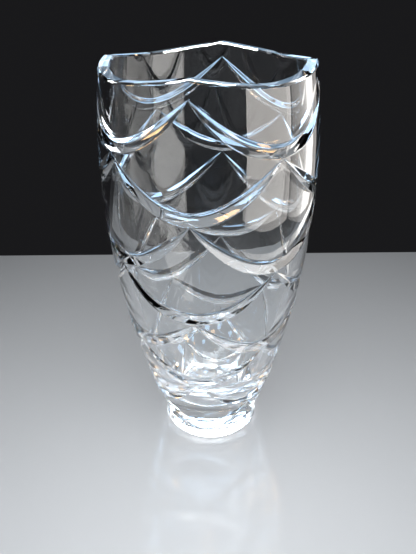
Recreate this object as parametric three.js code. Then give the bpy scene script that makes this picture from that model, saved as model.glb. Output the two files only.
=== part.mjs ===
// Cut crystal vase: one piece of clear lead crystal, ground and polished all over.
// A smooth turned body carries eight tiers of draped grooves, cut by a wheel, four swags to a tier
// and each tier turned half a swag from the one above, so that they overlap like fish scales.
// A groove is widest in the middle of its swag and runs out to a point at both cusps.
// The inside is smooth, with a rounded floor on a thick base.
// Millimetres, +Z up, origin at the centre of the flat underside, one rim peak facing -Y.
import * as THREE from "three";
import { mergeVertices } from "three/addons/utils/BufferGeometryUtils.js";

// Whole shape
const HEIGHT = 300;
const RIM_DIP = 5.5;
const RIM_DIP_POWER = 1.5;
const BELLY_RADIUS = 75.9;
const BELLY_HEIGHT = 220;
const NECK_IN = 6.2;
const NECK_POWER = 1.95;
const TAPER_IN = 35.7;
const TAPER_END = 12;
const TAPER_POWER = 1.87;

// Draped grooves, by tier from the top: the height of the cusps, how steeply the swag hangs from
// them and how wide the groove is, then the lowest point of the last tier
const SWAGS = 4;
const CUSP_HEIGHTS = [289.5, 253, 215, 175.5, 139.5, 105.5, 74, 42.5];
const DRAPE_POWERS = [2.0, 1.75, 1.9, 2.1, 1.9, 1.9, 1.9, 1.9];
const GROOVE_WIDTHS = [9, 9.5, 10, 10, 10, 9.5, 9, 9.5];
const LAST_DIP_HEIGHT = 12.5;

// Section of a groove: its depth for its width, where its valley lies between its upper and its
// lower edge, how round its two flanks are, and how fast it narrows towards a cusp
const DEPTH_SHARE = 0.29;
const VALLEY_SHARE = 0.4;
const FLANK_POWER = 1.3;
const NARROWING_POWER = 3.5;

// Foot
const FOOT_RADIUS = 39.8;
const FOOT_HEIGHT = 10;
const FOOT_SHOULDER = 0.8;
const FOOT_BEVEL = 1.2;

// Rim and inside
const WALL = 8;
const WALL_GAIN = 3.5;
const WALL_GAIN_POWER = 1.5;
const RIM_BEVEL = 1;
const FLOOR_HEIGHT = 31;
const FLOOR_ROUNDING = 40;
const LIP_DEPTH = 20;

// Fineness of the surface
const COLUMNS = 80;
const PANEL_STEPS = 2;
const FLANK_STEPS = 2;
const INNER_STEPS = 11;
const FLOOR_STEPS = 8;
const MERGE_DISTANCE = 1e-3;

const SWAG_ANGLE = (2 * Math.PI) / SWAGS;

// Radius of the uncut outline at a height.
function outline(z) {
  if (z > BELLY_HEIGHT) {
    const up = (z - BELLY_HEIGHT) / (HEIGHT - BELLY_HEIGHT);
    return BELLY_RADIUS - NECK_IN * up ** NECK_POWER;
  }
  const down = (BELLY_HEIGHT - z) / (BELLY_HEIGHT - TAPER_END);
  return BELLY_RADIUS - TAPER_IN * down ** TAPER_POWER;
}

// How far an angle lies from the middle of its swag, 0 at the middle and 1 at a cusp.
// The swags of the rim and of the odd tiers have their middles between the -Y, +X, +Y and -X peaks.
function swagShare(angle, turned) {
  const half = SWAG_ANGLE / 2;
  const from = turned ? angle : angle - half;
  const wrapped = from - SWAG_ANGLE * Math.round(from / SWAG_ANGLE);
  return Math.abs(wrapped) / half;
}

function rimHeight(angle) {
  return HEIGHT - RIM_DIP * (1 - swagShare(angle, false) ** RIM_DIP_POWER);
}

// One tier's groove at an angle: the heights of its two edges, and the depth of its valley.
function groove(tier, angle) {
  const top = CUSP_HEIGHTS[tier];
  const last = tier === CUSP_HEIGHTS.length - 1;
  const below = last ? LAST_DIP_HEIGHT : CUSP_HEIGHTS[tier + 1];
  const width = GROOVE_WIDTHS[tier];
  const middle = below + width / 2;
  const power = DRAPE_POWERS[tier];
  const share = swagShare(angle, tier % 2 === 1);
  const height = middle + (top - middle) * share ** power;
  const run = (outline(height) * SWAG_ANGLE) / 2;
  const slope = ((top - middle) * power * share ** (power - 1)) / run;
  const across = width * (1 - share ** NARROWING_POWER);
  const half = (across / 2) * Math.hypot(1, slope);
  return { upper: height + half, lower: height - half, depth: across * DEPTH_SHARE };
}

// One flank of a groove from a height to a lower one, either down into the valley or out of it.
function flank(top, bottom, depth, rising) {
  const points = [];
  for (let i = 1; i <= FLANK_STEPS; i += 1) {
    const share = i / FLANK_STEPS;
    const z = THREE.MathUtils.lerp(top, bottom, share);
    const fromValley = rising ? share : 1 - share;
    points.push([outline(z) - depth * (1 - fromValley ** FLANK_POWER), z]);
  }
  return points;
}

// Outside of one meridian from the rim down to the centre of the underside, as [radius, height].
function outerMeridian(angle) {
  const rim = rimHeight(angle);
  let from = rim - RIM_BEVEL;
  const points = [[outline(from) - RIM_BEVEL, rim], [outline(from), from]];
  for (let tier = 0; tier < CUSP_HEIGHTS.length; tier += 1) {
    const { upper, lower, depth } = groove(tier, angle);
    for (let i = 1; i <= PANEL_STEPS; i += 1) {
      const z = THREE.MathUtils.lerp(from, upper, i / PANEL_STEPS);
      points.push([outline(z), z]);
    }
    const valley = THREE.MathUtils.lerp(upper, lower, VALLEY_SHARE);
    points.push(...flank(upper, valley, depth, false), ...flank(valley, lower, depth, true));
    from = lower;
  }
  const neck = [FOOT_RADIUS - FOOT_SHOULDER, FOOT_HEIGHT];
  const middle = (from + neck[1]) / 2;
  points.push([(outline(middle) + neck[0]) / 2, middle]);
  points.push(neck);
  points.push([FOOT_RADIUS, FOOT_HEIGHT - FOOT_SHOULDER]);
  points.push([FOOT_RADIUS, FOOT_BEVEL]);
  points.push([FOOT_RADIUS - FOOT_BEVEL, 0]);
  points.push([0, 0]);
  return points;
}

// Radius of the inside at a height, before the floor is rounded.
function innerWall(z) {
  const down = Math.max(0, BELLY_HEIGHT - z) / (BELLY_HEIGHT - FLOOR_HEIGHT);
  return outline(z) - WALL - WALL_GAIN * down ** WALL_GAIN_POWER;
}

// Inside of one meridian from the centre of the floor up to the rim, as [radius, height].
function innerMeridian(angle) {
  const points = [[0, FLOOR_HEIGHT]];
  for (let i = 1; i <= FLOOR_STEPS; i += 1) {
    const turn = (Math.PI / 2) * (i / FLOOR_STEPS);
    const z = FLOOR_HEIGHT + FLOOR_ROUNDING * (1 - Math.cos(turn));
    points.push([innerWall(z) * Math.sin(turn), z]);
  }
  const wallFoot = FLOOR_HEIGHT + FLOOR_ROUNDING;
  const lipFoot = HEIGHT - LIP_DEPTH;
  for (let i = 1; i <= INNER_STEPS; i += 1) {
    const z = THREE.MathUtils.lerp(wallFoot, lipFoot, i / INNER_STEPS);
    points.push([innerWall(z), z]);
  }
  const lip = rimHeight(angle) - RIM_BEVEL;
  points.push([innerWall(lip), lip]);
  points.push([innerWall(lip) + RIM_BEVEL, lip + RIM_BEVEL]);
  return points;
}

// One closed loop of points for each meridian, joined round the axis into a closed body.
function turnedBody() {
  const positions = [];
  let rows = 0;
  for (let column = 0; column < COLUMNS; column += 1) {
    const angle = (2 * Math.PI * column) / COLUMNS;
    const meridian = [...outerMeridian(angle), ...innerMeridian(angle)];
    rows = meridian.length;
    for (const [radius, z] of meridian) {
      positions.push(radius * Math.sin(angle), -radius * Math.cos(angle), z);
    }
  }
  const index = [];
  for (let column = 0; column < COLUMNS; column += 1) {
    const here = column * rows;
    const next = ((column + 1) % COLUMNS) * rows;
    for (let row = 0; row < rows; row += 1) {
      const below = (row + 1) % rows;
      index.push(here + row, here + below, next + below);
      index.push(here + row, next + below, next + row);
    }
  }
  const body = new THREE.BufferGeometry();
  body.setAttribute("position", new THREE.Float32BufferAttribute(positions, 3));
  body.setIndex(index);
  return withoutSlivers(mergeVertices(body, MERGE_DISTANCE));
}

// Drops the triangles that closed up where two edges meet at a cusp or on the axis.
function withoutSlivers(body) {
  const kept = [];
  const all = body.index.array;
  for (let i = 0; i < all.length; i += 3) {
    const [a, b, c] = [all[i], all[i + 1], all[i + 2]];
    if (a !== b && b !== c && c !== a) {
      kept.push(a, b, c);
    }
  }
  body.setIndex(kept);
  body.computeVertexNormals();
  return body;
}

const crystal = new THREE.MeshStandardMaterial({
  color: 0xeef4f7,
  roughness: 0.03,
  metalness: 0,
  transparent: true,
  opacity: 0.35,
});

const vaseBody = new THREE.Mesh(turnedBody(), crystal);
vaseBody.name = "vase_body";

const vase = new THREE.Group();
vase.name = "cut_crystal_vase";
vase.add(vaseBody);

export default vase;
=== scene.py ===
"""Cut crystal vase: one closed body of clear lead crystal, with eight tiers of draped grooves cut
round it like overlapping fish scales, on a plain pale table top under soft studio lights.
Objects are in metres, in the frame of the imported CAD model; the vase's own sizes are in millimetres."""
import math

import bpy
from mathutils import Matrix, Vector


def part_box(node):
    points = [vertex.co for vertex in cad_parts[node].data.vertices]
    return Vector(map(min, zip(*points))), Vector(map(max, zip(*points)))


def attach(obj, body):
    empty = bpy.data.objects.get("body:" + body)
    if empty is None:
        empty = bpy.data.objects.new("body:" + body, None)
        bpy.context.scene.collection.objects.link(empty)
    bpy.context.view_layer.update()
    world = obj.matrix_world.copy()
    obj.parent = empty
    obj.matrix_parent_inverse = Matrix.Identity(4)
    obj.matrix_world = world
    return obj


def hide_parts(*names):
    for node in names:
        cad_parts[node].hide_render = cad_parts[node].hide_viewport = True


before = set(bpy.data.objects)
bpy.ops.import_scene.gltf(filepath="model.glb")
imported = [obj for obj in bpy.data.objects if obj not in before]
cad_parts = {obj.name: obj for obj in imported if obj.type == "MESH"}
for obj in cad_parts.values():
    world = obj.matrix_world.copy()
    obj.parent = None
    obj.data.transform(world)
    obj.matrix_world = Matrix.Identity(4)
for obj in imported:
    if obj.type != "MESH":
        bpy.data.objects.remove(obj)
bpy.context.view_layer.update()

MM = 0.001
NODE = "vase_body"

# Whole shape in millimetres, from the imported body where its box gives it: the belly, the dips of
# the rim, and how the outline draws in above and below the belly
low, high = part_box(NODE)
HEIGHT = (high.z - low.z) / MM
BELLY_RADIUS = (high.x - low.x) / 2 / MM
BELLY_HEIGHT = 220
RIM_DIP = 5.5
RIM_DIP_POWER = 1.5
NECK_IN = 6.2
NECK_POWER = 1.95
TAPER_IN = 35.7
TAPER_END = 12
TAPER_POWER = 1.87

# Draped grooves, by tier from the top: the height of the cusps, how steeply the swag hangs from
# them and how wide the groove is, then the lowest point of the last tier
SWAGS = 4
CUSP_HEIGHTS = [289.5, 253, 215, 175.5, 139.5, 105.5, 74, 42.5]
DRAPE_POWERS = [2.0, 1.75, 1.9, 2.1, 1.9, 1.9, 1.9, 1.9]
GROOVE_WIDTHS = [9, 9.5, 10, 10, 10, 9.5, 9, 9.5]
LAST_DIP_HEIGHT = 12.5

# Section of a groove: its depth for its width, where its valley lies between its upper and its
# lower edge, how round its two flanks are, and how fast it narrows towards a cusp
DEPTH_SHARE = 0.29
VALLEY_SHARE = 0.4
FLANK_POWER = 1.3
NARROWING_POWER = 3.5

# How far apart the two edges of a groove stay at a cusp, so that the mesh doesn't fold there
PINCH = 0.12

# Polished edges: how far from an edge its rounding starts, at most this share of the face beside
# it, and how many times as far from the edge it ends
EDGE_ROUNDING = 0.25
EDGE_LIMIT = 0.1
ROUNDING_END = 3

# Foot, rim and inside: the foot and its bevels, the wall's thickness at the rim and how much it
# gains downwards, the rim's bevel, and the floor with the radius of its rounding
FOOT_RADIUS = 39.8
FOOT_HEIGHT = 10
FOOT_SHOULDER = 0.8
FOOT_BEVEL = 1.2
WALL = 8
WALL_GAIN = 3.5
WALL_GAIN_POWER = 1.5
RIM_BEVEL = 1
FLOOR_HEIGHT = 31
FLOOR_ROUNDING = 40

# Fineness of the mesh
COLUMNS = 384
PANEL_STEPS = 4
FLANK_STEPS = 3
FLOOR_STEPS = 28
WALL_STEPS = 36

SWAG_ANGLE = 2 * math.pi / SWAGS


def mix(a, b, share):
    return a + (b - a) * share


def outline(z):
    """Radius of the uncut outline at a height."""
    if z > BELLY_HEIGHT:
        return BELLY_RADIUS - NECK_IN * ((z - BELLY_HEIGHT) / (HEIGHT - BELLY_HEIGHT)) ** NECK_POWER
    return BELLY_RADIUS - TAPER_IN * ((BELLY_HEIGHT - z) / (BELLY_HEIGHT - TAPER_END)) ** TAPER_POWER


def swag_share(angle, turned):
    """How far an angle lies from the middle of its swag, 0 at the middle and 1 at a cusp.

    The swags of the rim and of the odd tiers have their middles between the four peaks."""
    half = SWAG_ANGLE / 2
    offset = angle if turned else angle - half
    return abs(offset - SWAG_ANGLE * round(offset / SWAG_ANGLE)) / half


def rim_height(angle):
    """Height of the rim, highest over the cusps of the first tier."""
    return HEIGHT - RIM_DIP * (1 - swag_share(angle, False) ** RIM_DIP_POWER)


def groove(tier, angle):
    """One tier's groove at an angle: the heights of its two edges, and the depth of its valley."""
    top = CUSP_HEIGHTS[tier]
    last = tier == len(CUSP_HEIGHTS) - 1
    middle = (LAST_DIP_HEIGHT if last else CUSP_HEIGHTS[tier + 1]) + GROOVE_WIDTHS[tier] / 2
    power = DRAPE_POWERS[tier]
    share = swag_share(angle, tier % 2 == 1)
    height = mix(middle, top, share ** power)
    slope = (top - middle) * power * share ** (power - 1) / (outline(height) * SWAG_ANGLE / 2)
    across = GROOVE_WIDTHS[tier] * (1 - share ** NARROWING_POWER)
    half = across / 2 * math.hypot(1, slope)
    return height + half - PINCH, height - half - 2 * PINCH * share, across * DEPTH_SHARE


def hollow(share):
    """Depth across a groove, 0 at both edges and 1 in its valley."""
    if share < VALLEY_SHARE:
        return 1 - (1 - share / VALLEY_SHARE) ** FLANK_POWER
    return 1 - ((share - VALLEY_SHARE) / (1 - VALLEY_SHARE)) ** FLANK_POWER


def rounded_steps(top, bottom, steps):
    """Heights down a face, none on its two edges, so that smooth shading rounds the edges off."""
    edge = min(EDGE_ROUNDING, EDGE_LIMIT * (top - bottom))
    inner_top = top - ROUNDING_END * edge
    inner_bottom = bottom + ROUNDING_END * edge
    inner = [mix(inner_top, inner_bottom, i / steps) for i in range(steps + 1)]
    return [top - edge] + inner + [bottom + edge]


def outer_meridian(angle):
    """Outside of one meridian, from the rim to the underside's edge, as (radius, height, sharp)."""
    top = rim_height(angle)
    start = top - RIM_BEVEL
    points = [(outline(start) - RIM_BEVEL, top, True)]
    for tier in range(len(CUSP_HEIGHTS)):
        upper, lower, depth = groove(tier, angle)
        valley = mix(upper, lower, VALLEY_SHARE)
        for z in rounded_steps(start, upper, PANEL_STEPS):
            points.append((outline(z), z, False))
        for z in rounded_steps(upper, valley, FLANK_STEPS) + rounded_steps(valley, lower, FLANK_STEPS):
            points.append((outline(z) - depth * hollow((upper - z) / (upper - lower)), z, False))
        start = lower
    neck_radius = FOOT_RADIUS - FOOT_SHOULDER
    for i in range(PANEL_STEPS):
        share = i / PANEL_STEPS
        z = mix(start, FOOT_HEIGHT, share)
        points.append((mix(outline(z), neck_radius, share), z, False))
    points += [
        (neck_radius, FOOT_HEIGHT, True),
        (FOOT_RADIUS, FOOT_HEIGHT - FOOT_SHOULDER, True),
        (FOOT_RADIUS, FOOT_BEVEL, True),
        (FOOT_RADIUS - FOOT_BEVEL, 0.0, True),
    ]
    return points


def inner_wall(z):
    """Radius of the inside at a height, before the floor is rounded."""
    down = max(0.0, BELLY_HEIGHT - z) / (BELLY_HEIGHT - FLOOR_HEIGHT)
    return outline(z) - WALL - WALL_GAIN * down ** WALL_GAIN_POWER


def inner_meridian(angle):
    """Inside of one meridian, from the floor up to the rim, as (radius, height, sharp)."""
    points = []
    for i in range(1, FLOOR_STEPS + 1):
        turn = math.pi / 2 * i / FLOOR_STEPS
        z = FLOOR_HEIGHT + FLOOR_ROUNDING * (1 - math.cos(turn))
        points.append((inner_wall(z) * math.sin(turn), z, False))
    wall_foot = FLOOR_HEIGHT + FLOOR_ROUNDING
    lip = rim_height(angle) - RIM_BEVEL
    for i in range(1, WALL_STEPS + 1):
        z = mix(wall_foot, lip, i / WALL_STEPS)
        points.append((inner_wall(z), z, i == WALL_STEPS))
    points.append((inner_wall(lip) + RIM_BEVEL, lip + RIM_BEVEL, True))
    return points


def crystal_mesh():
    """One closed body: a ring of meridians, closed by the underside and the middle of the floor."""
    verts = []
    for column in range(COLUMNS):
        angle = 2 * math.pi * column / COLUMNS
        outside = outer_meridian(angle)
        meridian = outside + inner_meridian(angle)
        for radius, z, _ in meridian:
            verts.append((radius * math.sin(angle) * MM, -radius * math.cos(angle) * MM, z * MM))
    # Every meridian has the same rows, so the last one tells how many there are and which are sharp.
    rows = len(meridian)
    outer_count = len(outside)
    sharp_rows = {row for row, point in enumerate(meridian) if point[2]}
    # Up the inside, over the rim and down the outside.
    order = list(range(outer_count, rows)) + list(range(outer_count))
    faces = []
    for column in range(COLUMNS):
        here = column * rows
        beside = (column + 1) % COLUMNS * rows
        for above, below in zip(order, order[1:]):
            faces.append((here + above, here + below, beside + below, beside + above))
    under = len(verts)
    verts.append((0, 0, 0))
    floor = len(verts)
    verts.append((0, 0, FLOOR_HEIGHT * MM))
    for column in range(COLUMNS):
        here = column * rows
        beside = (column + 1) % COLUMNS * rows
        faces.append((here + outer_count - 1, under, beside + outer_count - 1))
        faces.append((floor, here + outer_count, beside + outer_count))
    mesh = bpy.data.meshes.new("cut_crystal")
    mesh.from_pydata(verts, [], faces)
    mesh.validate()
    mesh.shade_smooth()
    for edge in mesh.edges:
        a, b = edge.vertices
        same_row = a % rows == b % rows and a < under and b < under
        edge.use_edge_sharp = same_row and a % rows in sharp_rows
    mesh.update()
    return mesh


# Crystal: how strongly it bends light, and its two tints, mixed in streaks of a size in metres
CRYSTAL_IOR = 1.55
CLEAR_TINT = (0.985, 0.995, 1.0, 1.0)
COOL_TINT = (0.965, 0.985, 1.0, 1.0)
STREAK_SIZE = 0.04

# Hand polishing leaves the faintest waves, in metres: how far apart and how deep
POLISH_WAVE = 0.012
POLISH_DEPTH = 0.00003


def crystal_material():
    """Clear polished lead crystal with faint cool streaks and the waves of hand polishing."""
    made = bpy.data.materials.new("lead_crystal")
    made.use_nodes = True
    shader = made.node_tree.nodes["Principled BSDF"]
    shader.inputs["Roughness"].default_value = 0.0
    shader.inputs["IOR"].default_value = CRYSTAL_IOR
    shader.inputs["Transmission Weight"].default_value = 1.0
    nodes = made.node_tree.nodes
    links = made.node_tree.links
    coordinates = nodes.new("ShaderNodeTexCoord")
    streaks = nodes.new("ShaderNodeTexNoise")
    streaks.inputs["Scale"].default_value = 1 / STREAK_SIZE
    tint = nodes.new("ShaderNodeMix")
    tint.data_type = "RGBA"
    tint.inputs["A"].default_value = CLEAR_TINT
    tint.inputs["B"].default_value = COOL_TINT
    links.new(coordinates.outputs["Object"], streaks.inputs["Vector"])
    links.new(streaks.outputs["Fac"], tint.inputs["Factor"])
    links.new(tint.outputs["Result"], shader.inputs["Base Color"])
    waves = nodes.new("ShaderNodeTexNoise")
    waves.inputs["Scale"].default_value = 1 / POLISH_WAVE
    waves.inputs["Detail"].default_value = 1.0
    bump = nodes.new("ShaderNodeBump")
    bump.inputs["Strength"].default_value = 1.0
    bump.inputs["Distance"].default_value = POLISH_DEPTH
    links.new(coordinates.outputs["Object"], waves.inputs["Vector"])
    links.new(waves.outputs["Fac"], bump.inputs["Height"])
    links.new(bump.outputs["Normal"], shader.inputs["Normal"])
    return made


def table_material():
    made = bpy.data.materials.new("pale_table")
    made.use_nodes = True
    shader = made.node_tree.nodes["Principled BSDF"]
    shader.inputs["Base Color"].default_value = TABLE_COLOUR
    shader.inputs["Roughness"].default_value = TABLE_ROUGHNESS
    return made


# Camera: how far round the vase it stands from the -Y peak, how far from the axis and how high,
# where it points, and its lens and sensor in millimetres
CAMERA_AZIMUTH = math.radians(9.05)
CAMERA_DISTANCE = 0.3799
CAMERA_HEIGHT = 0.3623
CAMERA_PITCH = math.radians(30.776)
CAMERA_YAW = math.radians(-0.217)
CAMERA_ROLL = math.radians(-0.6)
CAMERA_LENS = 36.4274
CAMERA_SENSOR = 36


def add_camera():
    data = bpy.data.cameras.new("camera")
    data.lens = CAMERA_LENS
    data.sensor_width = CAMERA_SENSOR
    camera = bpy.data.objects.new("camera", data)
    bpy.context.scene.collection.objects.link(camera)
    spin = Matrix.Rotation(CAMERA_AZIMUTH, 4, "Z")
    place = Matrix.Translation((0, -CAMERA_DISTANCE, CAMERA_HEIGHT))
    turn = Matrix.Rotation(-CAMERA_YAW, 4, "Z")
    tilt = Matrix.Rotation(math.pi / 2 - CAMERA_PITCH, 4, "X")
    roll = Matrix.Rotation(CAMERA_ROLL, 4, "Z")
    camera.matrix_world = spin @ place @ turn @ tilt @ roll
    bpy.context.scene.camera = camera


# Table top in metres: how far it reaches from the vase's axis, how low its underside lies, and the
# hair of air under the foot that makes the vase's underside a mirror
TABLE_BACK = 0.29
TABLE_SIDE = 1.2
TABLE_FRONT = 1.2
TABLE_UNDERSIDE = -0.03
AIR_GAP = 0.0002
TABLE_COLOUR = (0.62, 0.62, 0.63, 1.0)
TABLE_ROUGHNESS = 0.12


def add_floor():
    """A pale table top, square to the camera."""
    corners = [
        (-TABLE_SIDE, -TABLE_FRONT),
        (TABLE_SIDE, -TABLE_FRONT),
        (TABLE_SIDE, TABLE_BACK),
        (-TABLE_SIDE, TABLE_BACK),
    ]
    verts = [(x, y, -AIR_GAP) for x, y in corners] + [(x, y, TABLE_UNDERSIDE) for x, y in corners]
    faces = [(0, 1, 2, 3), (7, 6, 5, 4), (3, 2, 6, 7), (2, 1, 5, 6), (1, 0, 4, 5), (0, 3, 7, 4)]
    mesh = bpy.data.meshes.new("table_top")
    mesh.from_pydata(verts, [], faces)
    mesh.materials.append(table_material())
    floor = bpy.data.objects.new("table_top", mesh)
    floor.rotation_euler.z = CAMERA_AZIMUTH
    bpy.context.scene.collection.objects.link(floor)
    return floor


# Colours of the lights
WARM = (1.0, 0.96, 0.92)
WHITE = (0.93, 0.97, 1.0)
COOL = (0.50, 0.73, 1.0)
AMBER = (1.0, 0.62, 0.28)

# Where the lights of the bowl point, in metres up the axis
BOWL_AIM = 0.03

# Upright strips far behind the vase, in two rows, which draw the lines in the rim and the grooves;
# angles are in degrees
BACK_STRIPS = 9
BACK_STEP = 8
BACK_DISTANCE = 4.0
BACK_STRENGTHS = (2.4, 0.9, 1.6)
HIGH_ROW_OFFSET = 3

# Small square lights round the vase, none of them behind it, which make the sparkle
SIDE_LIGHTS = 20
SIDE_REACH = 145
SIDE_DISTANCE = 1.1
SIDE_SIZE = 0.2
SIDE_HEIGHTS = (0.52, 0.8, 0.6, 1.2)
SIDE_STRENGTH = 21.0
SIDE_COLOURS = (COOL, COOL, WHITE, COOL, AMBER)


def add_panel(name, azimuth, distance, height, width, tall, radiance, colour, aim_height):
    """A soft light that the camera doesn't see, aimed at a point on the vase's axis.

    Its azimuth is in degrees round the vase, 0 at the camera and 90 to the camera's right."""
    data = bpy.data.lights.new(name, "AREA")
    data.shape = "RECTANGLE"
    data.size = width
    data.size_y = tall
    data.energy = radiance * math.pi * width * tall
    data.color = colour
    light = bpy.data.objects.new(name, data)
    angle = math.radians(azimuth) + CAMERA_AZIMUTH
    spot = Vector((distance * math.sin(angle), -distance * math.cos(angle), height))
    light.location = spot
    light.rotation_euler = (Vector((0, 0, aim_height)) - spot).to_track_quat("-Z", "Y").to_euler()
    light.visible_camera = False
    bpy.context.scene.collection.objects.link(light)
    return light


def link_light(light, lit, blockers=None):
    """Lets a light reach only some objects; where blockers are named, only they shade it."""
    receivers = bpy.data.collections.new(light.name + "_receivers")
    for item in lit:
        receivers.objects.link(item)
    light.light_linking.receiver_collection = receivers
    if blockers:
        shades = bpy.data.collections.new(light.name + "_blockers")
        for item in blockers:
            shades.objects.link(item)
        light.light_linking.blocker_collection = shades


DARK_WALLS = (0.01, 0.01, 0.011, 1.0)


def add_world():
    world = bpy.data.worlds.new("dark_studio")
    world.use_nodes = True
    background = world.node_tree.nodes["Background"]
    background.inputs["Color"].default_value = DARK_WALLS
    background.inputs["Strength"].default_value = 1.0
    bpy.context.scene.world = world


def add_right_panels():
    """The panels at the camera's right, mirrored as pale upright stripes in the vase."""
    place = {"distance": 0.45, "width": 0.4, "colour": WARM}
    low = {"height": 0.065, "tall": 0.13, "aim_height": 0.065}
    high = {"height": 0.245, "tall": 0.23, "aim_height": 0.245}
    full = {"height": 0.18, "tall": 0.36, "aim_height": 0.18}
    lower = add_panel("right_front_panel", azimuth=58, radiance=3.6, **place, **low)
    back = add_panel("right_back_panel", azimuth=108, radiance=1.4, **place, **full)
    upper = add_panel("right_front_upper_panel", azimuth=58, radiance=7.0, **place, **high)
    # The upper one is mirrored by the outside of the glass, and isn't seen through it from behind.
    upper.visible_transmission = False
    return [lower, back, upper]


def add_bowl_lights():
    """Lights from above and from high behind, which make the bowl and the foot glow."""
    overhead = add_panel(
        "overhead_panel", azimuth=0, distance=0.25, height=1.2, width=0.9, tall=0.7,
        radiance=120.0, colour=WHITE, aim_height=BOWL_AIM,
    )
    behind = add_panel(
        "high_back_panel", azimuth=180, distance=1.0, height=0.9, width=0.9, tall=0.3,
        radiance=4.0, colour=COOL, aim_height=BOWL_AIM,
    )
    left = add_panel(
        "bowl_light_left", azimuth=-45, distance=0.77, height=1.0, width=0.3, tall=0.3,
        radiance=100.0, colour=WHITE, aim_height=BOWL_AIM,
    )
    return [overhead, behind, left]


def add_back_strips():
    strips = []
    shared = {"distance": BACK_DISTANCE, "colour": COOL, "aim_height": 0.3}
    for i in range(BACK_STRIPS):
        azimuth = 180 + BACK_STEP * (i - (BACK_STRIPS - 1) / 2)
        strength = BACK_STRENGTHS[i % len(BACK_STRENGTHS)]
        strips.append(add_panel(
            f"low_strip_{i}", azimuth=azimuth, height=0.3, width=0.36, tall=0.8,
            radiance=strength, **shared,
        ))
        strips.append(add_panel(
            f"high_strip_{i}", azimuth=azimuth + HIGH_ROW_OFFSET, height=1.6, width=0.48, tall=1.6,
            radiance=strength / 2, **shared,
        ))
    return strips


def add_side_lights():
    lights = []
    for i in range(SIDE_LIGHTS):
        lights.append(add_panel(
            f"side_light_{i}",
            azimuth=SIDE_REACH * (2 * i / (SIDE_LIGHTS - 1) - 1),
            distance=SIDE_DISTANCE,
            height=SIDE_HEIGHTS[i % len(SIDE_HEIGHTS)],
            width=SIDE_SIZE,
            tall=SIDE_SIZE,
            radiance=SIDE_STRENGTH,
            colour=SIDE_COLOURS[i % len(SIDE_COLOURS)],
            aim_height=0.12,
        ))
    return lights


def add_floor_lights(floor):
    """Two lights in front that reach only the table; the vase casts its shadow in one of them."""
    shared = {"azimuth": 0, "width": 0.3, "tall": 0.3, "colour": WHITE, "aim_height": 0.0}
    key = add_panel("floor_key", distance=0.1, height=0.6, radiance=4.0, **shared)
    fill = add_panel("floor_fill", distance=0.3, height=0.45, radiance=9.0, **shared)
    link_light(key, [floor])
    link_light(fill, [floor], [floor])
    # The table mirrors the vase but not its own lights.
    for light in (key, fill):
        light.visible_glossy = False


add_camera()
floor = add_floor()
add_world()

vase = bpy.data.objects.new("vase_body_crystal", crystal_mesh())
bpy.context.scene.collection.objects.link(vase)
vase.data.materials.append(crystal_material())
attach(vase, "root")
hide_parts(NODE)

for light in add_right_panels() + add_bowl_lights() + add_back_strips() + add_side_lights():
    link_light(light, [vase])
add_floor_lights(floor)

# Enough bounces for light to find its way through the cuts, and no light focused on the table.
GLASS_BOUNCES = 24
MIRROR_BOUNCES = 8
cycles = bpy.context.scene.cycles
cycles.max_bounces = GLASS_BOUNCES
cycles.transmission_bounces = GLASS_BOUNCES
cycles.glossy_bounces = MIRROR_BOUNCES
cycles.caustics_refractive = False
bpy.context.scene.view_settings.view_transform = "Standard"
